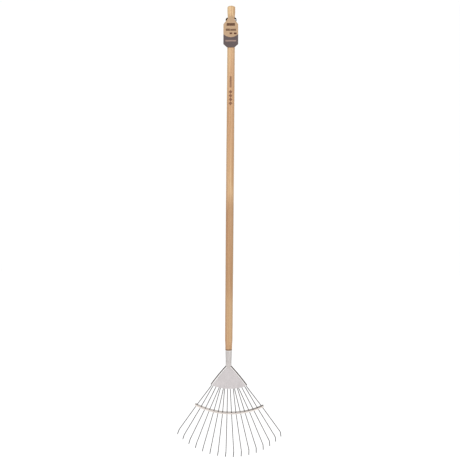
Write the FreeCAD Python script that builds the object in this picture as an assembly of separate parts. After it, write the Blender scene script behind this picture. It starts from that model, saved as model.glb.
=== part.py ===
import FreeCAD, Part
import math
import os

from FreeCAD import Placement, Rotation, Vector

# A long-handled lawn rake: a fan of spring wire tines in a folded stainless head, on an ash shaft.
# Millimetres, +Z up along the shaft, and the hooks of the tines point to -Y, the front.
# The origin is on the shaft's axis, at the middle of the grip that a tool clip takes.

# ---- shaft ----
SHAFT_TOP = 358.0          # crown of the rounded end
KNOB_R = 14.45
NECK_R = 13.3
UPPER_R = 13.8
GRIP_R = 14.0              # constant over the clip grip
GRIP_LENGTH = 60.0
BELLY_R = 14.2             # the shaft is slightly barrelled
LOWER_R = 13.9
COLLAR_R = 12.45           # the turned-down end above the socket
RIM_Z = -910.0             # top of the socket
TENON_CLEARANCE = 0.05
TENON_LENGTH = 34.0
TENON_CHAMFER = 1.5
TENON_CHAMFER_LENGTH = 4.0
SHOULDER_Z = RIM_Z + 0.05  # where the collar steps in to the tenon
HANG_HOLE_Z = 313.0
HANG_HOLE_R = 4.5
# The knob's crown is two arcs through five points: radius, distance below the top.
KNOB_CROWN = ((0.0, 0.0), (5.6, 0.55), (10.6, 2.3), (13.4, 4.2), (KNOB_R, 8.0))
# The side below the crown, as radius and height.
SHAFT_SIDE = (
    (KNOB_R, 333.0),
    (NECK_R + 0.25, 323.0),
    (NECK_R, 316.0),
    (NECK_R, 304.0),
    (NECK_R + 0.3, 292.0),
    (UPPER_R, 262.0),
    (GRIP_R, GRIP_LENGTH / 2),
    (GRIP_R, -GRIP_LENGTH / 2),
    (BELLY_R, -180.0),
    (BELLY_R, -390.0),
    (LOWER_R, -835.0),
    (LOWER_R - 0.15, -874.0),
    (COLLAR_R + 0.1, -890.0),
    (COLLAR_R, RIM_Z + 2.0),
    (COLLAR_R - 0.7, SHOULDER_Z),
)

# ---- socket ----
SOCKET_RIM_R = 11.65
SOCKET_END_R = 10.7
SOCKET_LENGTH = 36.0
SOCKET_WALL = 1.2
SWAGE_STEP = 0.15          # where the tube is pressed flat
SCREW_Z = RIM_Z - 18.0
SCREW_R = 1.9
SCREW_TIP_Y = 3.5
SCREW_SEAT_Y = 11.3
SCREW_HEAD_R = 3.7
SCREW_HEAD_HEIGHT = 2.2
RECESS_LENGTH = 3.8
RECESS_WIDTH = 0.9
RECESS_DEPTH = 1.2
# Sections of the tube's flattened end: distance below the bend, half width, half depth and the share
# of the head's lean that the section takes.
TANG_SECTIONS = (
    (3.0, 10.6, 8.6, 0.6),
    (12.0, 10.8, 4.9, 1.0),
    (20.0, 10.8, 2.5, 1.0),
    (30.0, 10.8, 1.5, 1.0),
    (42.0, 10.5, 1.45, 1.0),
)

# ---- head, drawn hanging straight down from its bend and tilted afterwards ----
BEND_Z = -961.0
HEAD_TILT = 16.0           # degrees, tips to the back
WIRE_R = 1.5
SHEET_GAP = 1.6            # from the wires' plane to each sheet
BACK_SHEET = 1.5
FRONT_SHEET = 1.2
SHOULDER = (10.7, 5.5)     # (half width, distance below the bend) of the plate's side curve
SIDE_MIDDLE = (47.8, 52.0)
SIDE_CORNER = (67.8, 80.4)
LIP_CORNER = (57.8, 87.2)
LIP_MIDDLE = 97.6
BEAD_R = 4.0               # rolled bead along each side
BEAD_WALL = 1.0
BEAD_RISE = 0.9            # centre of the bead in front of the wires' plane
CRIMP_R = 2.3              # half-round crimps in the front sheet, over the wires at the lip
CRIMP_LENGTH = 9.0

# ---- tines ----
TINES = 16
PITCH = 4.52               # degrees between neighbouring tines
FAN_CENTRE = 13.4          # above the bend
TINE_LENGTH = 373.0        # from the fan's centre to the hook bend of a middle tine
TINE_SHORTENING = 31.0     # by which the outermost tines are shorter
HOOK_LENGTH = 28.5
HOOK_BEND = 79.5           # degrees
HOOK_BEND_R = 7.0
KINK_R = 60.0
# Each hairpin, from the middle of the fan outwards: its place where it leaves the lip (half width,
# distance below the bend), half its gap, its direction in degrees and its length under the sheets.
HAIRPINS = (
    ((10.95, 104.0), 5.7, 3.5, 44.0),
    ((27.35, 102.0), 5.6, 13.6, 17.5),
    ((44.05, 98.0), 6.0, 22.7, 38.0),
    ((64.6, 92.0), 3.1, 32.0, 34.0),
)
ANCHOR_R = 1.35
ANCHOR_HEAD = (3.0, 1.2)     # radius and height of the domed head
ANCHOR_INSET = 2.4           # from the inside of the U-bend, where there is room
TANG_RIVET_R = 1.6
TANG_HEAD = (3.2, 1.3)
TANG_RIVETS = ((-5.5, 35.0), (5.5, 35.0))

# ---- spreader bar ----
BAR_MIDDLE = 196.8         # distance below the bend
BAR_ARC_R = 264.0
BAR_HALF_SPAN = 127.5
BAR_SHEET = 1.5
BAR_FRONT = 4.2            # front face of the turned-down lip
BAR_BACK = 9.5
BAR_LIP = 4.4              # from the middle of the strip to the lip's edge
BAR_HOLE_R = 1.62
BAR_CORNER_R = 4.0

# ---- tag and its tie ----
TIE_DROP = 25.9            # from the hanging hole to the tag's end of the tie
TIE_HALF_WIDTH = 18.6
TIE_CORNER_R = 11.0
TIE_BAND = 4.8
TIE_THICKNESS = 2.4
TIE_LEAN = 43.3            # degrees forward from straight down
LOCK_SIZE = (3.0, 4.6, 6.0)
CARD = 0.5
TAG_HALF_WIDTH = 27.2
TAG_TOP = 314.8
TAG_BOTTOM = 202.0
TAG_SHOULDER = ((4.5, 0.0), (17.8, 17.0), (TAG_HALF_WIDTH, 28.5))     # half width, distance below the top
TAG_FOOT = ((TAG_HALF_WIDTH, 12.0), (13.5, 0.0))                      # half width, distance above the foot
TAG_TURN_R = 3.05          # the card's turn over the tie
TAG_TAB_HALF = 6.5
TAG_FOOT_GAP = 0.3         # between the leaves at the foot
TAG_BACK_DROP = 8.0        # from the turn to the back leaf's shoulders
GLUE_DEPTH = 0.1
TAG_ROUNDING = 4.0

X_AXIS = Vector(1, 0, 0)
Y_AXIS = Vector(0, 1, 0)
Z_AXIS = Vector(0, 0, 1)
HEAD_PLACE = Placement(Vector(0, 0, BEND_Z), Rotation(X_AXIS, HEAD_TILT))


def save(shape, name):
    """One node is one STEP file."""
    shape.exportStep(f"parts/{name}.step")
    kind = "ok" if shape.isValid() else "INVALID"
    print(f"{name}: {len(shape.Solids)} solid(s), {shape.Volume:.0f} mm3, {kind}")


def tilted(shape):
    """A shape drawn in the head's own frame, put where the head is."""
    moved = shape.copy()
    moved.Placement = HEAD_PLACE
    return moved


def mirrored(shape):
    return shape.mirror(Vector(), X_AXIS)


def down(half_width, distance, front=0.0):
    """A point of the head's frame: how far out, how far below the bend, how far to the front."""
    return Vector(half_width, -front, -distance)


def line(a, b):
    return Part.LineSegment(a, b).toShape()


def arc(a, middle, b):
    return Part.Arc(a, middle, b).toShape()


def slab(outline, front_from, front_to):
    """A flat outline in the wires' plane, as a sheet between two distances to the front."""
    face = Part.Face(outline)
    face.translate(Vector(0, -front_from, 0))
    return face.extrude(Vector(0, front_from - front_to, 0))


def rod(points, bend_radii, radius):
    """A round wire along straight runs joined by tangent arcs."""
    edges = []
    start = points[0]
    for before, corner, after, bend_r in zip(points, points[1:], points[2:], bend_radii):
        a = (before - corner).normalize()
        b = (after - corner).normalize()
        half_turn = (math.pi - a.getAngle(b)) / 2
        reach = bend_r * math.tan(half_turn)
        first = corner + a * reach
        last = corner + b * reach
        inward = (a + b).normalize()
        nearest = corner + inward * (bend_r / math.cos(half_turn) - bend_r)
        edges.append(line(start, first))
        edges.append(arc(first, nearest, last))
        start = last
    edges.append(line(start, points[-1]))
    path = Part.Wire(edges)
    section = Part.Wire(Part.Circle(points[0], points[1] - points[0], radius).toShape())
    return path.makePipeShell([section], True, False)


# ---------------------------------------------------------------- shaft and socket

def shaft():
    """The turned pole, from its rounded knob to the tenon that fills the socket."""
    crown = [Vector(r, 0, SHAFT_TOP - drop) for r, drop in KNOB_CROWN]
    tenon_top = SOCKET_RIM_R - SOCKET_WALL - TENON_CLEARANCE
    taper = (SOCKET_RIM_R - SOCKET_END_R) / SOCKET_LENGTH
    straight_length = TENON_LENGTH - TENON_CHAMFER_LENGTH
    tenon = (
        (tenon_top, SHOULDER_Z),
        (tenon_top - taper * straight_length, RIM_Z - straight_length),
        (tenon_top - taper * TENON_LENGTH - TENON_CHAMFER, RIM_Z - TENON_LENGTH),
        (0, RIM_Z - TENON_LENGTH),
    )
    points = crown[-1:] + [Vector(r, 0, z) for r, z in SHAFT_SIDE + tenon]
    edges = [arc(*crown[:3]), arc(*crown[2:])]
    edges += [line(a, b) for a, b in zip(points, points[1:])]
    edges.append(line(points[-1], crown[0]))
    body = Part.Face(Part.Wire(edges)).revolve(Vector(), Z_AXIS, 360)
    hole = Part.makeCylinder(HANG_HOLE_R, 40, Vector(-20, 0, HANG_HOLE_Z), X_AXIS)
    return body.cut(hole).cut(socket_screw_shank())


def flattened_ring(half_width, half_depth, centre, lean):
    """An ellipse across the socket's run, leaning with the head."""
    curve = Part.Ellipse(Vector(), half_width, half_depth).toShape()
    curve.Placement = Placement(centre, Rotation(X_AXIS, lean))
    return Part.Wire(curve)


def socket_outside():
    """The tapered tube, and its end that flattens into a tang between the sheets."""
    end_z = RIM_Z - SOCKET_LENGTH
    tube = Part.makeCone(SOCKET_END_R, SOCKET_RIM_R, SOCKET_LENGTH, Vector(0, 0, end_z))
    neck_r = SOCKET_END_R - SWAGE_STEP
    sections = [flattened_ring(neck_r + 0.01, neck_r, Vector(0, 0, end_z + 0.5), 0)]
    sections.append(flattened_ring(neck_r, neck_r - 0.1, Vector(0, 0, end_z - 5), 0))
    for distance, half_width, half_depth, lean in TANG_SECTIONS:
        centre = HEAD_PLACE.multVec(down(0, distance))
        sections.append(flattened_ring(half_width, half_depth, centre, lean * HEAD_TILT))
    return tube.fuse(Part.makeLoft(sections, True, False))


def socket(outside):
    taper = (SOCKET_RIM_R - SOCKET_END_R) / SOCKET_LENGTH
    depth = TENON_LENGTH + 1
    mouth_r = SOCKET_RIM_R - SOCKET_WALL
    hollow = Part.makeCone(mouth_r - taper * depth, mouth_r, depth, Vector(0, 0, RIM_Z - depth))
    return outside.cut(hollow).cut(socket_screw_shank())


def socket_screw_shank():
    return Part.makeCylinder(SCREW_R, 10.0, Vector(0, SCREW_TIP_Y, SCREW_Z), Y_AXIS)


def socket_screw():
    """A pan-head cross-recess screw through the back of the socket into the tenon."""
    far_y = SCREW_SEAT_Y + SCREW_HEAD_HEIGHT
    head = Part.makeCylinder(SCREW_HEAD_R, SCREW_HEAD_HEIGHT, Vector(0, SCREW_SEAT_Y, SCREW_Z), Y_AXIS)
    rim = [e for e in head.Edges if e.BoundBox.YMin > far_y - 0.01]
    head = head.makeFillet(RECESS_DEPTH, rim)
    shank_length = SCREW_SEAT_Y - SCREW_TIP_Y
    shank = Part.makeCylinder(SCREW_R, shank_length, Vector(0, SCREW_TIP_Y, SCREW_Z), Y_AXIS)
    screw = head.fuse(shank)
    for wide, high in ((RECESS_LENGTH, RECESS_WIDTH), (RECESS_WIDTH, RECESS_LENGTH)):
        corner = Vector(-wide / 2, far_y - RECESS_DEPTH, SCREW_Z - high / 2)
        screw = screw.cut(Part.makeBox(wide, 2 * RECESS_DEPTH, high, corner))
    return screw


# ---------------------------------------------------------------- the two sheets

def side_circle():
    """The circle of the plate's right side, in the head's frame."""
    return arc(down(*SHOULDER), down(*SIDE_MIDDLE), down(*SIDE_CORNER)).Curve


def plate_outline(inset):
    """Shoulders, convex sides set in by the bead, cut corners and the curved lip."""
    circle = side_circle()
    centre = circle.Center

    def inward(point):
        return point + (centre - point).normalize() * inset

    def other(point):
        return Vector(-point.x, point.y, point.z)

    top, middle, corner = (inward(down(*p)) for p in (SHOULDER, SIDE_MIDDLE, SIDE_CORNER))
    lip = down(*LIP_CORNER)
    return Part.Wire([
        line(other(top), top),
        arc(top, middle, corner),
        line(corner, lip),
        arc(lip, down(0, LIP_MIDDLE), other(lip)),
        line(other(lip), other(corner)),
        arc(other(corner), other(middle), other(top)),
    ])


def rolled_bead():
    """A C-shaped roll round the right side: it is open to the inside, where the sheets enter."""
    circle = side_circle()
    start = down(*SHOULDER)
    end = down(*SIDE_CORNER)
    outward = (start - circle.Center).normalize()
    along = outward.cross(Y_AXIS)
    centre = start - outward * BEAD_R + Vector(0, -BEAD_RISE, 0)
    outer, inner = (
        Part.Face(Part.Wire(Part.Circle(centre, along, r).toShape())) for r in (BEAD_R, BEAD_R - BEAD_WALL)
    )
    mouth_front = SHEET_GAP + FRONT_SHEET + 0.1
    deep = -BEAD_R - 1
    corners = [
        centre + outward * out + Vector(0, BEAD_RISE - front, 0)
        for out, front in ((deep, -SHEET_GAP), (0, -SHEET_GAP), (0, mouth_front), (deep, mouth_front))
    ]
    mouth = Part.Face(Part.makePolygon(corners + corners[:1]))
    angle = math.degrees(outward.getAngle(end - circle.Center))
    profile = outer.cut(inner).cut(mouth)
    return profile.revolve(circle.Center, Y_AXIS, angle)


def back_plate(socket_shape):
    sheet = slab(plate_outline(BEAD_R), -SHEET_GAP - BACK_SHEET, -SHEET_GAP)
    roll = rolled_bead()
    plate = sheet.fuse([roll, mirrored(roll)]).removeSplitter()
    return tilted(plate).cut(socket_shape)


def front_plate(socket_shape, paths):
    """The cover sheet, with a half-round crimp over each wire at the lip."""
    sheet = slab(plate_outline(BEAD_R), SHEET_GAP, SHEET_GAP + FRONT_SHEET)
    outer = []
    inner = []
    for points in paths:
        for leaving, inside in ((points[2], points[3]), (points[-3], points[-4])):
            if abs(leaving.x) > SIDE_MIDDLE[0]:
                continue
            direction = (inside - leaving).normalize()
            edge = leaving + direction * lip_distance(leaving, direction)
            outer.append(crimp(edge, direction, CRIMP_R + FRONT_SHEET, CRIMP_LENGTH))
            inner.append(crimp(edge, direction, CRIMP_R, CRIMP_LENGTH))
    front_half = Part.makeBox(200, 20, 200, Vector(-100, -20 - SHEET_GAP, -200))
    plate = sheet.fuse(outer).common(front_half)
    plate = plate.cut(inner).common(slab(plate_outline(BEAD_R), 0, 20))
    return tilted(plate.removeSplitter()).cut(socket_shape)


def lip_distance(point, direction):
    """How far a leg runs from its kink up to the lip."""
    half = LIP_CORNER[0]
    drop = LIP_MIDDLE - LIP_CORNER[1]
    lip_r = (half * half + drop * drop) / (2 * drop)
    centre = down(0, LIP_MIDDLE - lip_r)
    to_centre = centre - point
    along = to_centre.dot(direction)
    return along - math.sqrt(lip_r ** 2 - (to_centre.dot(to_centre) - along ** 2))


def crimp(edge, direction, radius, length):
    """A bullet-nosed solid over a wire, from outside the lip up under the sheet."""
    base = edge - direction * 3
    tube = Part.makeCylinder(radius, length + 3, base, direction)
    nose = Part.makeSphere(radius, base + direction * (length + 3))
    return tube.fuse(nose)


# ---------------------------------------------------------------- tines, anchors and bar

def tine_angle(index):
    """Degrees from the middle of the fan, for the tines counted from the left."""
    return PITCH * (index - (TINES - 1) / 2)


def on_ray(angle, distance):
    turn = math.radians(angle)
    return down(distance * math.sin(turn), distance * math.cos(turn) - FAN_CENTRE)


def bar_crossing(angle):
    """Where a tine's ray meets the arc of the bar."""
    turn = math.radians(angle)
    offset = BAR_ARC_R - BAR_MIDDLE - FAN_CENTRE
    reach = math.sqrt(BAR_ARC_R ** 2 - (offset * math.sin(turn)) ** 2) - offset * math.cos(turn)
    return on_ray(angle, reach)


def tine_end(angle):
    """The hook's tip, its bend and the bar crossing of one tine."""
    share = angle / tine_angle(TINES - 1)
    bend = on_ray(angle, TINE_LENGTH - TINE_SHORTENING * share * share)
    crossing = bar_crossing(angle)
    onward = (bend - crossing).normalize()
    turn = math.radians(HOOK_BEND)
    tip = bend + (onward * math.cos(turn) - Y_AXIS * math.sin(turn)) * HOOK_LENGTH
    return [tip, bend, crossing]


def hairpin_points(pair, side):
    """The corners of one hairpin, tip to tip, on the right (side 1) or the left (side -1)."""
    (out, below), half_gap, direction, length = HAIRPINS[pair]
    turn = math.radians(direction)
    along = down(math.sin(turn), math.cos(turn))
    across = down(math.cos(turn), -math.sin(turn))
    middle = down(out, below)
    top = middle - along * length
    inner_index = TINES // 2 + 2 * pair
    points = []
    for sign, index in ((-1, inner_index), (1, inner_index + 1)):
        leg = tine_end(tine_angle(index))
        leg += [middle + across * (sign * half_gap), top + across * (sign * half_gap)]
        points += leg if sign < 0 else leg[::-1]
    return [Vector(p.x * side, p.y, p.z) for p in points]


def hairpin(points, half_gap):
    u_r = half_gap * 0.86
    radii = [HOOK_BEND_R, KINK_R, KINK_R, u_r, u_r, KINK_R, KINK_R, HOOK_BEND_R]
    return tilted(rod(points, radii, WIRE_R))


def anchor_centres():
    """A rivet stands inside each U-bend, close to the bend where the gap lets it."""
    centres = []
    for side in (-1, 1):
        for pair, hairpin_row in enumerate(HAIRPINS):
            points = hairpin_points(pair, side)
            top = (points[4] + points[5]) / 2
            foot = (points[3] + points[6]) / 2
            room = hairpin_row[1] - WIRE_R - ANCHOR_R
            inset = min(room, ANCHOR_INSET) + WIRE_R + ANCHOR_R
            centres.append(top + (foot - top).normalize() * inset)
    return centres


def rivet(centre, radius, head_r, head_height):
    """Flush in front, with a low domed head on the back sheet."""
    front = SHEET_GAP + FRONT_SHEET
    back = SHEET_GAP + BACK_SHEET
    shank = Part.makeCylinder(radius, front + back, centre + Vector(0, -front, 0), Y_AXIS)
    ball_r = (head_r ** 2 + head_height ** 2) / (2 * head_height)
    ball = Part.makeSphere(ball_r, centre + Vector(0, back - ball_r + head_height, 0))
    cap = ball.common(Part.makeCylinder(head_r + 1, head_height + 1, centre + Vector(0, back, 0), Y_AXIS))
    return shank.fuse(cap)


def rivets(centres, radius, head_r, head_height):
    return Part.Compound([tilted(rivet(c, radius, head_r, head_height)) for c in centres])


def bar_arc(inside, outside, half_angle):
    """The outline of a curved strip between two radii about the bar's centre."""
    centre = down(0, BAR_MIDDLE - BAR_ARC_R)

    def at(radius, angle):
        return centre + down(radius * math.sin(angle), radius * math.cos(angle))

    return Part.Wire([
        arc(at(inside, -half_angle), at(inside, 0), at(inside, half_angle)),
        line(at(inside, half_angle), at(outside, half_angle)),
        arc(at(outside, half_angle), at(outside, 0), at(outside, -half_angle)),
        line(at(outside, -half_angle), at(inside, -half_angle)),
    ])


def bar_crossings(paths):
    """The place and the direction of every tine where it goes through the bar."""
    crossings = []
    for points in paths:
        for before, point, after in (points[1:4], points[-2:-5:-1]):
            way = ((after - point).normalize() - (before - point).normalize()).normalize()
            crossings.append((point, way))
    return crossings


def spreader_bar(crossings):
    """A curved strip across the fan with its front edge turned down, and a hole for each tine."""
    half_angle = math.asin(BAR_HALF_SPAN / BAR_ARC_R)
    inside = BAR_ARC_R - BAR_SHEET / 2
    strip = slab(bar_arc(inside, BAR_ARC_R + BAR_SHEET / 2, half_angle), -BAR_BACK, BAR_FRONT)
    corners = [e for e in strip.Edges if abs(e.Length - BAR_SHEET) < 0.01 and e.CenterOfMass.y > 0]
    strip = strip.makeFillet(BAR_CORNER_R, corners)
    lip = slab(bar_arc(inside, BAR_ARC_R + BAR_LIP, half_angle), BAR_FRONT - BAR_SHEET, BAR_FRONT)
    strip = strip.fuse(lip).removeSplitter()
    holes = [Part.makeCylinder(BAR_HOLE_R, 20, point - way * 10, way) for point, way in crossings]
    return tilted(strip.cut(holes))


# ---------------------------------------------------------------- tie and tag

def tie_place():
    """The tie's own frame: x across, y from the hanging hole to the tag, z along the band's width."""
    return Placement(Vector(0, 0, HANG_HOLE_Z), Rotation(X_AXIS, -90 - TIE_LEAN))


def tag_axis():
    """The middle of the tie's front run, which the tag turns on."""
    return tie_place().multVec(Vector(0, TIE_DROP, 0))


def rounded_loop(grow):
    """A rounded block between the hanging hole and the tag's end of the tie."""
    width = 2 * (TIE_HALF_WIDTH + grow)
    block = Part.makeBox(width, TIE_DROP + 2 * grow, TIE_BAND, Vector(-width / 2, -grow, -TIE_BAND / 2))
    corners = [e for e in block.Edges if abs(e.Length - TIE_BAND) < 0.001]
    return block.makeFillet(TIE_CORNER_R + grow, corners)


def tag_tie():
    """A nylon strap through the hanging hole, closed into a rounded loop in front of the shaft."""
    band = rounded_loop(TIE_THICKNESS / 2).cut(rounded_loop(-TIE_THICKNESS / 2))
    band.Placement = tie_place()
    return band


def tie_lock():
    """The tie's locking head, against the inside of the left run and behind the tag's shoulder."""
    depth, along, breadth = LOCK_SIZE
    corner = Vector(-TIE_HALF_WIDTH, TIE_DROP / 2 - along / 2, -breadth / 2)
    lock = Part.makeBox(depth + TIE_THICKNESS / 2, along, breadth, corner)
    lock = lock.makeFillet(0.7, lock.Edges)
    lock.Placement = tie_place()
    return lock.cut(tag_tie())


def leaf(corners, y, round_above):
    """A sheet of card standing across the front, from the right half of its outline."""
    right = [Vector(x, y, z) for x, z in corners]
    left = [Vector(-p.x, p.y, p.z) for p in reversed(right)]
    outline = right + left
    sheet = Part.Face(Part.makePolygon(outline + outline[:1])).extrude(Vector(0, CARD, 0))
    edges = [e for e in sheet.Edges if abs(e.Length - CARD) < 0.001 and e.CenterOfMass.z > round_above]
    return sheet.makeFillet(TAG_ROUNDING, edges)


def swing_tag():
    """A card tag: its back leaf is turned over the tie and glued behind the leaning front leaf."""
    axis = tag_axis()
    foot = [(x, TAG_BOTTOM + rise) for x, rise in TAG_FOOT]
    shoulder = [(x, TAG_TOP - drop) for x, drop in TAG_SHOULDER]
    above_foot = TAG_BOTTOM + TAG_FOOT[0][1] + 1
    front = leaf(shoulder + foot, -CARD, above_foot)
    rear_of_front = axis.y - TAG_TURN_R - CARD + GLUE_DEPTH
    foot_y = axis.y + TAG_TURN_R - TAG_FOOT_GAP
    slope = math.degrees(math.atan2(foot_y - rear_of_front, axis.z - TAG_BOTTOM))
    front.rotate(Vector(0, 0, TAG_BOTTOM), X_AXIS, slope)
    front.translate(Vector(0, foot_y, 0))

    back_top = axis.z - TAG_BACK_DROP
    back = leaf([(TAG_HALF_WIDTH - 0.4, back_top)] + foot, axis.y + TAG_TURN_R, above_foot)
    tab_rise = TAG_BACK_DROP + TAG_ROUNDING
    tab_corner = Vector(-TAG_TAB_HALF, axis.y + TAG_TURN_R, axis.z - tab_rise)
    tab = Part.makeBox(2 * TAG_TAB_HALF, CARD, tab_rise, tab_corner)
    start = Vector(-TAG_TAB_HALF, axis.y, axis.z)
    turn = Part.makeCylinder(TAG_TURN_R + CARD, 2 * TAG_TAB_HALF, start, X_AXIS)
    turn = turn.cut(Part.makeCylinder(TAG_TURN_R, 2 * TAG_TAB_HALF, start, X_AXIS))
    upper = Part.makeBox(60, 20, 20, Vector(-30, axis.y - 10, axis.z))
    return back.fuse([tab, turn.common(upper), front]).removeSplitter()


def main():
    os.makedirs("parts", exist_ok=True)
    outside = socket_outside()
    anchor_set = rivets(anchor_centres(), ANCHOR_R, *ANCHOR_HEAD)
    tang_set = rivets([down(*place) for place in TANG_RIVETS], TANG_RIVET_R, *TANG_HEAD)
    holes = anchor_set.Solids + tang_set.Solids

    paths = []
    names = []
    for side, label in ((-1, "left"), (1, "right")):
        for pair in range(len(HAIRPINS)):
            paths.append(hairpin_points(pair, side))
            names.append(f"tine_hairpin_{label}_{pair + 1}")

    save(shaft(), "shaft")
    save(socket(outside).cut(holes), "socket")
    save(socket_screw(), "socket_screw")
    save(back_plate(outside).cut(holes), "back_plate")
    save(front_plate(outside, paths).cut(holes), "front_plate")
    save(anchor_set, "anchor_rivets")
    save(tang_set, "tang_rivets")
    for points, name in zip(paths, names):
        half_gap = (points[4] - points[5]).Length / 2
        save(hairpin(points, half_gap), name)
    save(spreader_bar(bar_crossings(paths)), "spreader_bar")
    save(tag_tie(), "tag_tie")
    save(tie_lock(), "tie_lock")
    save(swing_tag(), "swing_tag")


main()
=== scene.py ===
import math

import bmesh
import bpy
from mathutils import Matrix, Quaternion, Vector


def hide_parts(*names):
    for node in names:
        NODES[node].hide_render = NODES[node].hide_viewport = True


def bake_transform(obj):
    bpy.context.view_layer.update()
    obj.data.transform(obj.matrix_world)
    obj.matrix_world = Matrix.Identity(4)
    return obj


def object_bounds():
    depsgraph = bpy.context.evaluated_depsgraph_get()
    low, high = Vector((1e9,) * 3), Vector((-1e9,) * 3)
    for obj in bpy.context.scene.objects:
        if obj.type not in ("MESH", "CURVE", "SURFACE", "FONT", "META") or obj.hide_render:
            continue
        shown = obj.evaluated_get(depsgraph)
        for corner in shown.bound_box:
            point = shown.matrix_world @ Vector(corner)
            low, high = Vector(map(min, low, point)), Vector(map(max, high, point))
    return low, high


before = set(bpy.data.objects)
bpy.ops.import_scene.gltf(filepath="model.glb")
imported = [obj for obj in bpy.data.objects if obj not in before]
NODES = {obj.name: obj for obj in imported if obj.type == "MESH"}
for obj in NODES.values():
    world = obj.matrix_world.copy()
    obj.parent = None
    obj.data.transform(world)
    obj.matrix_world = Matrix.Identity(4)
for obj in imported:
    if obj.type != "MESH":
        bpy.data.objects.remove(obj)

CAD_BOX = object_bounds()
MM = 0.001

# ---------------------------------------------------------------- sizes, in millimetres

RIM_Z = -910.0                  # top of the socket
BEND_Z = -961.0                 # where the head leans away from the shaft's line
HEAD_TILT = math.radians(16.0)

TINES = 16
PITCH = 4.52                    # degrees between neighbouring tines
FAN_CENTRE = 13.4               # above the bend
TINE_LENGTH = 373.0             # from the fan's centre to the hook bend of a middle tine
TINE_SHORTENING = 31.0          # by which the outermost tines are shorter
WIRE_R = 1.5
HOOK_LENGTH = 28.5
HOOK_BEND = math.radians(79.5)
HOOK_BEND_R = 7.0
KINK_R = 60.0                   # where a wire turns at the bar and at the lip
U_BEND_SHARE = 0.86             # of half a hairpin's gap, as the radius of its two upper bends
# Each hairpin, from the middle of the fan outwards: its place where it leaves the lip (half width,
# distance below the bend), half its gap, its direction in degrees and its length under the sheets.
HAIRPINS = (
    ((10.95, 104.0), 5.7, 3.5, 44.0),
    ((27.35, 102.0), 5.6, 13.6, 17.5),
    ((44.05, 98.0), 6.0, 22.7, 38.0),
    ((64.6, 92.0), 3.1, 32.0, 34.0),
)
BAR_MIDDLE = 196.8
BAR_ARC_R = 264.0

# the back sheet's side curve goes through these: half width, distance below the bend
SHOULDER = (10.7, 5.5)
SIDE_MIDDLE = (47.8, 52.0)
SIDE_CORNER = (67.8, 80.4)

# ---------------------------------------------------------------- camera

CAMERA_DISTANCE = 3.5
CAMERA_AZIMUTH = math.radians(4.3)
CAMERA_ROLL = math.radians(0.45)
VIEW_SIDE = 1.6928              # metres across the picture, at the shaft
VIEW_MIDDLE_Z = -0.467          # a little above the middle of the whole rake
SIDE_STEP = 0.0014
SENSOR = 36.0                   # millimetres


def make_camera():
    data = bpy.data.cameras.new("camera")
    data.sensor_width = SENSOR
    data.lens = SENSOR * CAMERA_DISTANCE / VIEW_SIDE
    data.clip_end = 60.0
    camera = bpy.data.objects.new("camera", data)
    bpy.context.scene.collection.objects.link(camera)
    right = Vector((math.cos(CAMERA_AZIMUTH), math.sin(CAMERA_AZIMUTH), 0))
    back = Vector((math.sin(CAMERA_AZIMUTH), -math.cos(CAMERA_AZIMUTH), 0))
    camera.location = back * CAMERA_DISTANCE + right * SIDE_STEP + Vector((0, 0, VIEW_MIDDLE_Z))
    turn = Matrix((right, Vector((0, 0, 1)), back)).transposed().to_quaternion()
    camera.rotation_mode = "QUATERNION"
    camera.rotation_quaternion = turn @ Quaternion((0, 0, 1), CAMERA_ROLL)
    bpy.context.scene.camera = camera


# ---------------------------------------------------------------- studio

BACKDROP = 1.01                 # the strength that the camera sees, a touch past white
ROOM_COLOUR = (0.95, 0.97, 1.0)
ROOM_STRENGTH = 0.42            # in front, behind and above
ROOM_SIDES = 0.28               # to the left and right
ROOM_FALL = (0.45, 0.95)        # how far aside the strength starts and ends its fall
FLOOR_HALF = 15.0
FLOOR_GAP = 0.0006
FLOOR_TONE = 0.2
FLOOR_GLOW = 0.945
# Each light: its name, place, target, size in metres and power in watts.
LIGHTS = (
    ("key_softbox", (-1.5, -2.6, 1.3), (0, 0, -0.4), (1.4, 2.4), 34),
    ("fill_softbox", (1.9, -2.3, 0.2), (0, 0, -0.5), (1.2, 2.2), 18),
    ("back_softbox", (0.3, 2.1, 1.1), (0, 0, -1.1), (2.4, 1.2), 7),
    ("top_softbox", (0.2, 0.4, 2.2), (0, 0, -0.4), (1.4, 1.4), 8),
)


def make_studio():
    bpy.context.scene.view_settings.view_transform = "Standard"
    make_room()
    make_floor()
    for light in LIGHTS:
        area_light(*light)


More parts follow.
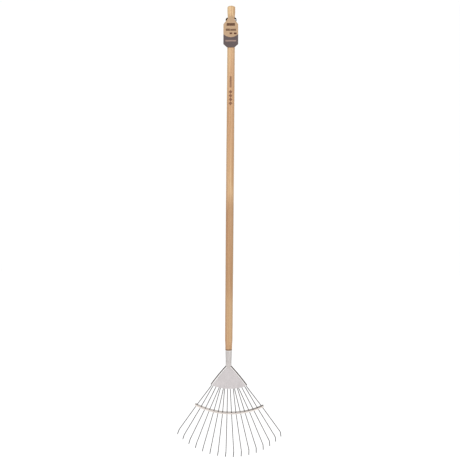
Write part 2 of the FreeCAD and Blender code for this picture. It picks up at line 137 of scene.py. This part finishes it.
def make_room():
    """White behind the rake for the camera, and a soft room around it for the light."""
    world = bpy.data.worlds.new("studio")
    bpy.context.scene.world = world
    world.use_nodes = True
    tree = world.node_tree
    tree.nodes.clear()

    seen = tree.nodes.new("ShaderNodeBackground")
    seen.inputs["Color"].default_value = (1, 1, 1, 1)
    seen.inputs["Strength"].default_value = BACKDROP
    room = tree.nodes.new("ShaderNodeBackground")
    room.inputs["Color"].default_value = (*ROOM_COLOUR, 1)
    place = tree.nodes.new("ShaderNodeTexCoord")
    parts = tree.nodes.new("ShaderNodeSeparateXYZ")
    tree.links.new(place.outputs["Generated"], parts.inputs[0])
    aside = tree.nodes.new("ShaderNodeMath")
    aside.operation = "ABSOLUTE"
    tree.links.new(parts.outputs[0], aside.inputs[0])
    fall = tree.nodes.new("ShaderNodeMapRange")
    fall.interpolation_type = "SMOOTHSTEP"
    ends = (*ROOM_FALL, ROOM_STRENGTH, ROOM_SIDES)
    for name, value in zip(("From Min", "From Max", "To Min", "To Max"), ends):
        fall.inputs[name].default_value = value
    tree.links.new(aside.outputs[0], fall.inputs["Value"])
    tree.links.new(fall.outputs["Result"], room.inputs["Strength"])

    path = tree.nodes.new("ShaderNodeLightPath")
    mix = tree.nodes.new("ShaderNodeMixShader")
    tree.links.new(path.outputs["Is Camera Ray"], mix.inputs["Fac"])
    tree.links.new(room.outputs[0], mix.inputs[1])
    tree.links.new(seen.outputs[0], mix.inputs[2])
    out = tree.nodes.new("ShaderNodeOutputWorld")
    tree.links.new(mix.outputs[0], out.inputs["Surface"])


def make_floor():
    z = CAD_BOX[0].z - FLOOR_GAP
    corners = [(x * FLOOR_HALF, y * FLOOR_HALF, z) for x, y in ((-1, -1), (1, -1), (1, 1), (-1, 1))]
    mesh = bpy.data.meshes.new("floor")
    mesh.from_pydata(corners, [], [(0, 1, 2, 3)])
    floor = bpy.data.objects.new("floor", mesh)
    bpy.context.scene.collection.objects.link(floor)
    g = Graph("floor_paper")
    g.principled(base=(FLOOR_TONE,) * 3, roughness=0.9, emission=(1, 1, 1), emission_strength=FLOOR_GLOW)
    mesh.materials.append(g.material)


def area_light(name, place, target, size, power):
    data = bpy.data.lights.new(name, "AREA")
    data.shape = "RECTANGLE"
    data.size, data.size_y = size
    data.energy = power
    light = bpy.data.objects.new(name, data)
    light.location = place
    light.visible_camera = False
    light.rotation_mode = "QUATERNION"
    light.rotation_quaternion = (Vector(target) - Vector(place)).to_track_quat("-Z", "Y")
    bpy.context.scene.collection.objects.link(light)


# ---------------------------------------------------------------- node materials

def srgb(red, green, blue):
    """A colour as it reads on screen, 0 to 255, as the linear colour that a shader takes."""
    def linear(value):
        value /= 255.0
        return value / 12.92 if value <= 0.04045 else ((value + 0.055) / 1.055) ** 2.4
    return tuple(linear(v) for v in (red, green, blue))


class Graph:
    """A material's node tree, with one short call for each node. Places are metres in the object's frame."""

    def __init__(self, name):
        self.material = bpy.data.materials.new(name)
        self.material.use_nodes = True
        self.tree = self.material.node_tree
        self.tree.nodes.clear()
        self.surface = self.add("ShaderNodeOutputMaterial")
        self.place = self.add("ShaderNodeTexCoord").outputs["Object"]

    def add(self, kind, **settings):
        made = self.tree.nodes.new(kind)
        for name, value in settings.items():
            setattr(made, name, value)
        return made

    def put(self, socket, value):
        if isinstance(value, bpy.types.NodeSocket):
            self.tree.links.new(value, socket)
        elif value is not None:
            if socket.type == "RGBA" and len(value) == 3:
                value = (*value, 1)
            socket.default_value = value

    def math(self, operation, a, b=None, c=None, clamp=False):
        made = self.add("ShaderNodeMath", operation=operation, use_clamp=clamp)
        for socket, value in zip(made.inputs, (a, b, c)):
            self.put(socket, value)
        return made.outputs[0]

    def split(self, vector):
        made = self.add("ShaderNodeSeparateXYZ")
        self.put(made.inputs[0], vector)
        return made.outputs[0], made.outputs[1], made.outputs[2]

    def stretched(self, x, y, z):
        """The place scaled along x, y and z, so that a noise has about that many features to the metre."""
        made = self.add("ShaderNodeVectorMath", operation="MULTIPLY")
        self.put(made.inputs[0], self.place)
        self.put(made.inputs[1], (x, y, z))
        return made.outputs[0]

    def noise(self, vector, scale=1.0, detail=2.0, rough=0.5):
        made = self.add("ShaderNodeTexNoise")
        self.put(made.inputs["Vector"], vector)
        self.put(made.inputs["Scale"], scale)
        self.put(made.inputs["Detail"], detail)
        self.put(made.inputs["Roughness"], rough)
        return made.outputs["Fac"]

    def ramp(self, value, *stops, smooth=False):
        made = self.add("ShaderNodeValToRGB")
        made.color_ramp.interpolation = "EASE" if smooth else "LINEAR"
        while len(made.color_ramp.elements) < len(stops):
            made.color_ramp.elements.new(1.0)
        for element, (position, colour) in zip(made.color_ramp.elements, stops):
            element.position = position
            if not hasattr(colour, "__len__"):
                colour = (colour, colour, colour)
            element.color = (*colour, 1)
        self.put(made.inputs[0], value)
        return made.outputs[0]

    def mix(self, share, a, b):
        made = self.add("ShaderNodeMix", data_type="RGBA")
        self.put(made.inputs["Factor"], share)
        colours = [s for s in made.inputs if s.type == "RGBA"]
        self.put(colours[0], a)
        self.put(colours[1], b)
        return [s for s in made.outputs if s.type == "RGBA"][0]

    def bump(self, height, distance, strength):
        made = self.add("ShaderNodeBump")
        self.put(made.inputs["Height"], height)
        self.put(made.inputs["Distance"], distance)
        self.put(made.inputs["Strength"], strength)
        return made.outputs[0]

    def band(self, value, centre, half, soft):
        """1 where value is within half of centre, fading over soft."""
        off = self.math("ABSOLUTE", self.math("SUBTRACT", value, centre))
        return self.math("DIVIDE", self.math("SUBTRACT", half, off), soft, clamp=True)

    def principled(self, base=None, metallic=0.0, roughness=0.5, normal=None, specular=0.5,
                   coat=0.0, coat_roughness=0.1, emission=None, emission_strength=0.0, anisotropic=0.0,
                   edge_tint=None):
        made = self.add("ShaderNodeBsdfPrincipled")
        for name, value in (
            ("Base Color", base), ("Metallic", metallic), ("Roughness", roughness), ("Normal", normal),
            ("Specular IOR Level", specular), ("Coat Weight", coat), ("Coat Roughness", coat_roughness),
            ("Emission Color", emission), ("Emission Strength", emission_strength),
            ("Anisotropic", anisotropic), ("Specular Tint", edge_tint),
        ):
            self.put(made.inputs[name], value)
        self.put(self.surface.inputs["Surface"], made.outputs[0])


# The pole's tone changes with height, over POLE_LENGTH from POLE_FOOT below the grip's middle.
POLE_FOOT = 0.96
POLE_LENGTH = 1.27
RING_WIDTH = 0.0034
JOINT_SHADOW_Z = (RIM_Z + 2.2) * MM    # the painted shadow line where the wood meets the socket
KNOB_Z = 0.29                   # the wood grows paler above this


def ash_wood():
    """Ash, turned from the long grain: growth rings cut almost along their length, pores and fibres."""
    g = Graph("ash_wood")
    x, y, z = g.split(g.place)
    # the rings' pith lies far to one side and wanders slowly along the pole
    wander = g.noise(g.stretched(9, 9, 0.9), 1.0, 2.0)
    drift = g.math("MULTIPLY_ADD", z, 0.011, g.math("MULTIPLY", wander, 0.016))
    px = g.math("ADD", g.math("ADD", x, 0.021), drift)
    py = g.math("SUBTRACT", y, 0.034)
    radius = g.math("SQRT", g.math("ADD", g.math("MULTIPLY", px, px), g.math("MULTIPLY", py, py)))
    fine = g.noise(g.stretched(700, 700, 7), 1.0, 4.0, 0.62)
    edge = g.noise(g.stretched(160, 160, 2.2), 1.0, 3.0, 0.6)
    radius = g.math("MULTIPLY_ADD", edge, 0.0016, radius)
    ring = g.math("FRACT", g.math("DIVIDE", radius, RING_WIDTH))
    late = g.ramp(ring, (0.0, 0.15), (0.10, 1.0), (0.24, 0.75), (0.62, 0.18), (1.0, 0.15))
    tone = g.noise(g.stretched(20, 20, 1.7), 1.0, 3.0, 0.55)
    clear = g.ramp(tone, (0.30, srgb(231, 199, 152)), (0.48, srgb(226, 190, 146)),
                   (0.60, srgb(216, 172, 131)), (0.74, srgb(203, 156, 112)))
    deep = g.ramp(tone, (0.30, srgb(206, 163, 108)), (0.55, srgb(192, 145, 100)), (0.75, srgb(170, 122, 80)))
    colour = g.mix(g.math("MULTIPLY", late, 0.72), clear, deep)
    # the lower part is browner, most of all below the middle
    sway = g.math("MULTIPLY", g.noise(g.stretched(60, 60, 3), 1.0, 2.0), 0.10)
    share = g.math("DIVIDE", g.math("ADD", g.math("ADD", z, sway), POLE_FOOT), POLE_LENGTH)
    brown = g.ramp(share, (0.0, 0.38), (0.215, 0.62), (0.25, 0.95), (0.49, 0.95), (0.53, 0.12), (1.0, 0.0))
    colour = g.mix(brown, colour, g.mix(0.62, colour, srgb(170, 121, 84)))
    streak = g.noise(g.stretched(230, 230, 1.6), 1.0, 2.0, 0.5)
    colour = g.mix(g.ramp(streak, (0.56, 0.0), (0.72, 0.55)), colour, srgb(188, 134, 96))
    colour = g.mix(g.ramp(streak, (0.28, 0.5), (0.42, 0.0)), colour, srgb(238, 214, 164))
    up = g.math("DIVIDE", g.math("SUBTRACT", z, KNOB_Z), 0.07, clamp=True)
    knob = g.ramp(up, (0.0, 0.0), (0.6, 0.2))
    colour = g.mix(knob, colour, srgb(250, 218, 168))
    open_grain = g.math("MULTIPLY_ADD", late, 0.7, 0.15)
    pores = g.math("MULTIPLY", g.ramp(fine, (0.56, 0.0), (0.70, 1.0)), open_grain)
    colour = g.mix(g.math("MULTIPLY", pores, 0.45), colour, srgb(140, 96, 58))
    colour = scorched_mark(g, colour, x, y, z)
    # painted shadow: a dark band on the wood just above the socket's rim, where the gap between them lies in
    # shade
    joint_shadow = g.math("MULTIPLY", g.band(z, JOINT_SHADOW_Z, 0.0038, 0.0016), 0.7)
    colour = g.mix(joint_shadow, colour, srgb(112, 84, 62))
    height = g.math("SUBTRACT", g.math("MULTIPLY", fine, 0.5), pores)
    rough = g.math("MULTIPLY_ADD", fine, 0.16, 0.36)
    g.principled(colour, 0.0, rough, g.bump(height, 0.00022, 0.35),
                 specular=0.38, coat=0.12, coat_roughness=0.35)
    return g.material


# The burnt mark, in metres: a bar, and a row of lozenges below it.
MARK_X = 0.0004
MARK_BAR = (0.0760, 0.0215)     # middle and half height
MARK_BAR_HALF = 0.0040
LOZENGES = 4
LOZENGE_TOP_Z = 0.0395
LOZENGE_PITCH = 0.0140
LOZENGE_HALF = 0.0078


def scorched_mark(g, colour, x, y, z):
    """A plain bar and four lozenges burnt into the front of the pole, where a maker would put a mark."""
    front = g.math("LESS_THAN", y, 0.0)
    aside = g.math("SUBTRACT", x, MARK_X)
    across = g.math("ABSOLUTE", aside)
    bar = g.math("MULTIPLY", g.band(aside, 0.0, MARK_BAR_HALF, 0.0008), g.band(z, *MARK_BAR, 0.0015))
    marks = g.math("MULTIPLY", bar, 0.78)
    for i in range(LOZENGES):
        along = g.math("ABSOLUTE", g.math("SUBTRACT", z, LOZENGE_TOP_Z - i * LOZENGE_PITCH))
        inside = g.math("SUBTRACT", LOZENGE_HALF, g.math("ADD", across, along))
        marks = g.math("MAXIMUM", marks, g.math("DIVIDE", inside, 0.0012, clamp=True))
    patchy = g.ramp(g.noise(g.stretched(700, 700, 240), 1.0, 3.0), (0.25, 0.5), (0.6, 1.0))
    share = g.math("MULTIPLY", g.math("MULTIPLY", g.math("MULTIPLY", marks, front), patchy), 0.95)
    return g.mix(share, colour, srgb(112, 64, 42))


SATIN = srgb(212, 206, 206)
SHEET_GRAIN = (420, 420, 9)     # fine across the sheet and long down it
SCRATCH_DEPTH = 0.00003
METAL_EDGE = (0.3, 0.3, 0.3)    # keeps edges from fading into the white room


def brushed(name, base, roughness, grain, middle=0.0, rim_highlight=0.0):
    """Satin sheet or drawn wire: fine scratches along the grain, faint smears and small colour drift.

    middle darkens the part near the plane x = 0 as a painted dark reflection, and rim paints a highlight
    along the top edge of the socket.
    """
    g = Graph(name)
    scratches = g.noise(g.stretched(*grain), 1.0, 5.0, 0.7)
    smear = g.noise(g.stretched(38, 38, 22), 1.0, 3.0, 0.6)
    tint = g.mix(g.ramp(smear, (0.3, 0.0), (0.75, 1.0)), base, tuple(c * 0.88 for c in base))
    colour = g.mix(g.ramp(scratches, (0.35, 0.0), (0.8, 0.35)), tint, tuple(c * 0.7 for c in base))
    # painted dark reflection over the part near the plane x = 0
    if middle:
        across, _, _ = g.split(g.place)
        reach = g.math("DIVIDE", g.math("ABSOLUTE", across), 0.13)
        painted_dark_reflection = g.ramp(reach, (0.25, 1.0), (0.75, 0.0), smooth=True)
        colour = g.mix(g.math("MULTIPLY", painted_dark_reflection, middle), colour, tuple(c * 0.35 for c in base))
    # painted highlight: a bright band along the socket's top edge
    if rim_highlight:
        _, _, up = g.split(g.place)
        colour = g.mix(g.band(up, (RIM_Z - 0.6) * MM, 0.0016, 0.0008), colour, (rim_highlight, rim_highlight, rim_highlight))
    rough = g.math("ADD", g.math("MULTIPLY_ADD", scratches, 0.16, roughness - 0.08),
                   g.math("MULTIPLY_ADD", smear, 0.10, -0.05))
    g.principled(colour, 1.0, rough, g.bump(scratches, SCRATCH_DEPTH, 0.5),
                 anisotropic=0.3, edge_tint=METAL_EDGE)
    return g.material


def circle_through(a, b, c):
    """Centre and radius of the circle through three points of a plane."""
    d = 2 * (a[0] * (b[1] - c[1]) + b[0] * (c[1] - a[1]) + c[0] * (a[1] - b[1]))
    squares = [p[0] ** 2 + p[1] ** 2 for p in (a, b, c)]
    x = (squares[0] * (b[1] - c[1]) + squares[1] * (c[1] - a[1]) + squares[2] * (a[1] - b[1])) / d
    y = (squares[0] * (c[0] - b[0]) + squares[1] * (a[0] - c[0]) + squares[2] * (b[0] - a[0])) / d
    return (x, y), math.hypot(a[0] - x, a[1] - y)


def rolled_sheet():
    """The back sheet: satin, with painted reflections: bright along the inside of each rolled side, dark on
    its outside.
    """
    g = Graph("rolled_sheet")
    x, y, z = g.split(g.place)
    centre, radius = circle_through(SHOULDER, SIDE_MIDDLE, SIDE_CORNER)
    below = g.math("ADD", g.math("MULTIPLY", y, math.sin(HEAD_TILT)),
                   g.math("MULTIPLY", g.math("SUBTRACT", BEND_Z * MM, z), math.cos(HEAD_TILT)))
    out = g.math("SUBTRACT", g.math("ABSOLUTE", x), centre[0] * MM)
    down = g.math("SUBTRACT", below, centre[1] * MM)
    reach = g.math("SQRT", g.math("ADD", g.math("MULTIPLY", out, out), g.math("MULTIPLY", down, down)))
    inward = g.math("SUBTRACT", radius * MM, reach)
    scratches = g.noise(g.stretched(*SHEET_GRAIN), 1.0, 5.0, 0.7)
    smear = g.noise(g.stretched(60, 60, 30), 1.0, 3.0, 0.6)
    # painted reflections, set by place on the roll: near white inside, dark grey outside, satin on the flat
    outside = g.ramp(g.math("DIVIDE", inward, 0.01, clamp=True), (0.33, 1.0), (0.40, 0.0))
    flat = g.ramp(g.math("DIVIDE", inward, 0.02, clamp=True), (0.6, 0.0), (0.8, 1.0))
    painted_bright_reflection = g.mix(scratches, srgb(252, 250, 249), srgb(242, 240, 239))
    painted_dark_reflection = g.mix(smear, srgb(130, 122, 118), srgb(158, 150, 146))
    colour = g.mix(flat, g.mix(outside, painted_bright_reflection, painted_dark_reflection), SATIN)
    rough = g.math("MULTIPLY_ADD", flat, 0.2, g.math("MULTIPLY_ADD", scratches, 0.14, 0.18))
    g.principled(colour, 1.0, rough, g.bump(scratches, SCRATCH_DEPTH, 0.5),
                 anisotropic=0.3, edge_tint=METAL_EDGE)
    return g.material


def black_nylon():
    g = Graph("black_nylon")
    grain = g.noise(g.place, 2600, 3.0, 0.6)
    ribs = g.math("SINE", g.math("MULTIPLY", g.split(g.place)[0], 4200))
    colour = g.mix(grain, (0.004, 0.004, 0.004), (0.012, 0.011, 0.012))
    height = g.math("MULTIPLY_ADD", ribs, 0.25, grain)
    rough = g.math("MULTIPLY_ADD", grain, 0.15, 0.72)
    g.principled(colour, 0.0, rough, g.bump(height, 0.00006, 0.6), specular=0.04, edge_tint=(0.1, 0.1, 0.1))
    return g.material


TAG_FRONT_Y = -0.01495          # the front leaf is all in front of this
DARK_FOOT_Z = 0.2393            # the dark foot's upper edge at the middle
DARK_FOOT_RISE = 15.0           # by which the edge rises with the square of the distance aside
# The printed bars, in metres: middle and half width, then middle and half height.
TITLE = (0.0, 0.0155, 0.2850, 0.0052)
LINES = ((-0.0108, 0.0078, 0.2660, 0.0042), (0.0090, 0.0110, 0.2655, 0.0038))
DABS = ((0.0005, 0.0050, 0.2530, 0.0032), (0.0165, 0.0052, 0.2525, 0.0034))
FOOT_LINE = (0.0, 0.0200, 0.2262, 0.0028)


def printed_card():
    """Kraft board with a dark foot and plain printed bars on the front leaf."""
    g = Graph("printed_card")
    x, y, z = g.split(g.place)
    fibre = g.noise(g.stretched(1500, 1500, 420), 1.0, 4.0, 0.65)
    cloud = g.noise(g.place, 60, 3.0, 0.6)
    fleck = g.ramp(g.noise(g.stretched(900, 900, 900), 1.0, 1.0), (0.70, 0.0), (0.76, 1.0))
    kraft = g.mix(fibre, srgb(179, 147, 115), srgb(206, 175, 142))
    kraft = g.mix(g.math("MULTIPLY", cloud, 0.3), kraft, srgb(184, 152, 120))
    kraft = g.mix(g.math("MULTIPLY", fleck, 0.5), kraft, srgb(140, 108, 78))
    front = g.math("LESS_THAN", y, TAG_FRONT_Y)
    edge = g.math("ADD", g.math("MULTIPLY", g.math("MULTIPLY", x, x), DARK_FOOT_RISE), DARK_FOOT_Z)
    under = g.math("DIVIDE", g.math("SUBTRACT", edge, z), 0.0006, clamp=True)
    dark_foot = g.math("MULTIPLY", under, front)
    slate = g.mix(fibre, srgb(88, 77, 77), srgb(110, 96, 95))
    colour = g.mix(dark_foot, kraft, slate)

    def bar(x_middle, x_half, z_middle, z_half):
        across = g.band(x, x_middle, x_half, 0.0005)
        return g.math("MULTIPLY", g.math("MULTIPLY", across, g.band(z, z_middle, z_half, 0.0005)), front)

    worn = g.ramp(fibre, (0.3, 0.72), (0.6, 1.0))
    colour = g.mix(g.math("MULTIPLY", bar(*TITLE), worn), colour, srgb(88, 56, 38))
    lines = g.math("MAXIMUM", bar(*LINES[0]), bar(*LINES[1]))
    colour = g.mix(g.math("MULTIPLY", g.math("MULTIPLY", lines, worn), 0.9), colour, srgb(98, 68, 50))
    dabs = g.math("MAXIMUM", bar(*DABS[0]), bar(*DABS[1]))
    colour = g.mix(g.math("MULTIPLY", dabs, 0.95), colour, srgb(82, 40, 28))
    colour = g.mix(g.math("MULTIPLY", bar(*FOOT_LINE), 0.75), colour, srgb(176, 148, 134))
    rough = g.math("MULTIPLY_ADD", fibre, 0.15, 0.68)
    g.principled(colour, 0.0, rough, g.bump(fibre, 0.00006, 0.5), specular=0.25)
    return g.material


# ---------------------------------------------------------------- tines

PATH_STEP = 6 * MM              # at most, between rings on a straight run
ARC_STEP = 9                    # degrees between rings in a bend
WIRE_SIDES = 14
CHAMFER_SHARE = 0.35            # of the wire's radius
DOME_SHARE = 0.12


def head_point(half_width, distance, front=0.0):
    """A point given by how far out, how far below the bend and how far to the front of the wires' plane."""
    y = distance * math.sin(HEAD_TILT) - front * math.cos(HEAD_TILT)
    z = BEND_Z - distance * math.cos(HEAD_TILT) - front * math.sin(HEAD_TILT)
    return Vector((half_width, y, z)) * MM


def on_ray(angle, distance):
    turn = math.radians(angle)
    return (distance * math.sin(turn), distance * math.cos(turn) - FAN_CENTRE)


def bar_crossing(angle):
    turn = math.radians(angle)
    offset = BAR_ARC_R - BAR_MIDDLE - FAN_CENTRE
    reach = math.sqrt(BAR_ARC_R ** 2 - (offset * math.sin(turn)) ** 2) - offset * math.cos(turn)
    return on_ray(angle, reach)


def tine_angle(index):
    return PITCH * (index - (TINES - 1) / 2)


def tine_end(angle):
    share = angle / tine_angle(TINES - 1)
    bend = head_point(*on_ray(angle, TINE_LENGTH - TINE_SHORTENING * share * share))
    crossing = head_point(*bar_crossing(angle))
    onward = (bend - crossing).normalized()
    to_front = (head_point(0, 0, 1) - head_point(0, 0)).normalized()
    tip = bend + (onward * math.cos(HOOK_BEND) + to_front * math.sin(HOOK_BEND)) * HOOK_LENGTH * MM
    return [tip, bend, crossing]


def hairpin_corners(pair, side):
    (out, below), half_gap, direction, length = HAIRPINS[pair]
    turn = math.radians(direction)
    inner_index = TINES // 2 + 2 * pair
    corners = []
    for sign, index in ((-1, inner_index), (1, inner_index + 1)):
        across = (sign * half_gap * math.cos(turn), -sign * half_gap * math.sin(turn))
        top = (out - length * math.sin(turn) + across[0], below - length * math.cos(turn) + across[1])
        leg = tine_end(tine_angle(index))
        leg += [head_point(out + across[0], below + across[1]), head_point(*top)]
        corners += leg if sign < 0 else leg[::-1]
    return [Vector((p.x * side, p.y, p.z)) for p in corners]


def bent_path(corners, radii):
    """Points along straight runs joined by tangent arcs."""
    points = [corners[0]]

    def straight_to(end):
        start = points[-1]
        count = max(1, math.ceil((end - start).length / PATH_STEP))
        points.extend(start.lerp(end, (i + 1) / count) for i in range(count))

    for before, corner, after, radius in zip(corners, corners[1:], corners[2:], radii):
        a = (before - corner).normalized()
        b = (after - corner).normalized()
        half_turn = (math.pi - a.angle(b)) / 2
        first = corner + a * (radius * math.tan(half_turn))
        straight_to(first)
        centre = corner + (a + b).normalized() * (radius / math.cos(half_turn))
        spoke = first - centre
        axis = spoke.cross(-a)
        count = max(2, math.ceil(math.degrees(2 * half_turn) / ARC_STEP))
        for i in range(count):
            turn = Quaternion(axis, 2 * half_turn * (i + 1) / count)
            points.append(centre + turn @ spoke)
    straight_to(corners[-1])
    return points


def wire_mesh(name, points, radius):
    """A round wire with a small chamfer and a slightly domed face at each cut end."""
    mesh = bmesh.new()
    rings = []
    tangent = (points[1] - points[0]).normalized()
    normal = tangent.orthogonal().normalized()
    last = len(points) - 1
    stations = []
    for i, point in enumerate(points):
        onward = (points[min(i + 1, last)] - points[max(i - 1, 0)]).normalized()
        normal = (tangent.rotation_difference(onward) @ normal).normalized()
        tangent = onward
        stations.append((point, tangent, normal))
    chamfer = radius * CHAMFER_SHARE
    first, end = stations[0], stations[-1]
    stations[0] = (first[0] + first[1] * chamfer, first[1], first[2])
    stations[-1] = (end[0] - end[1] * chamfer, end[1], end[2])
    profile = [(s, radius) for s in stations]
    profile.insert(0, (first, radius - chamfer))
    profile.append((end, radius - chamfer))
    for (point, along, out), r in profile:
        ring = []
        for k in range(WIRE_SIDES):
            ring.append(mesh.verts.new(point + Quaternion(along, 2 * math.pi * k / WIRE_SIDES) @ out * r))
        rings.append(ring)
    for a, b in zip(rings, rings[1:]):
        for k in range(WIRE_SIDES):
            beside = (k + 1) % WIRE_SIDES
            mesh.faces.new((a[k], a[beside], b[beside], b[k])).smooth = True
    for ring, (point, along, _), sign in ((rings[0], first, -1), (rings[-1], end, 1)):
        tip = mesh.verts.new(point + along * (sign * radius * DOME_SHARE))
        for k in range(WIRE_SIDES):
            mesh.faces.new((ring[k], ring[(k + 1) % WIRE_SIDES], tip))
    bmesh.ops.recalc_face_normals(mesh, faces=mesh.faces)
    data = bpy.data.meshes.new(name)
    mesh.to_mesh(data)
    mesh.free()
    made = bpy.data.objects.new(name, data)
    bpy.context.scene.collection.objects.link(made)
    return made


def make_tines(material):
    for side, label in ((-1, "left"), (1, "right")):
        for pair, (_, half_gap, _, _) in enumerate(HAIRPINS):
            node = f"tine_hairpin_{label}_{pair + 1}"
            u_bend = half_gap * U_BEND_SHARE * MM
            kink = KINK_R * MM
            hook = HOOK_BEND_R * MM
            corners = hairpin_corners(pair, side)
            points = bent_path(corners, [hook, kink, kink, u_bend, u_bend, kink, kink, hook])
            wire = wire_mesh(f"tine_wire_{label}_{pair + 1}", points, WIRE_R * MM)
            wire.data.materials.append(material)
            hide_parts(node)
            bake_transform(wire)


# ---------------------------------------------------------------- everything together

def dress(node, material, smooth_angle=32):
    data = NODES[node].data
    data.materials.clear()
    data.materials.append(material)
    data.polygons.foreach_set("use_smooth", [True] * len(data.polygons))
    data.set_sharp_from_angle(angle=math.radians(smooth_angle))


make_camera()
make_studio()

SHEET = brushed("satin_sheet", SATIN, 0.36, SHEET_GRAIN)
dress("shaft", ash_wood())
for name in ("front_plate", "anchor_rivets", "tang_rivets"):
    dress(name, SHEET)
# the socket's top edge gets a painted highlight band
dress("socket", brushed("satin_tube", srgb(212, 206, 203), 0.34, SHEET_GRAIN, rim_highlight=0.8))
dress("back_plate", rolled_sheet())
dress("socket_screw", brushed("screw_steel", srgb(205, 204, 204), 0.25, (900, 900, 900)))
# the bar's middle gets a painted dark reflection
dress("spreader_bar", brushed("bar_steel", srgb(238, 229, 222), 0.36, (60, 600, 600), middle=0.2))
NYLON = black_nylon()
dress("tag_tie", NYLON)
dress("tie_lock", NYLON)
dress("swing_tag", printed_card())
make_tines(brushed("drawn_wire", srgb(126, 122, 120), 0.27, (900, 900, 16)))
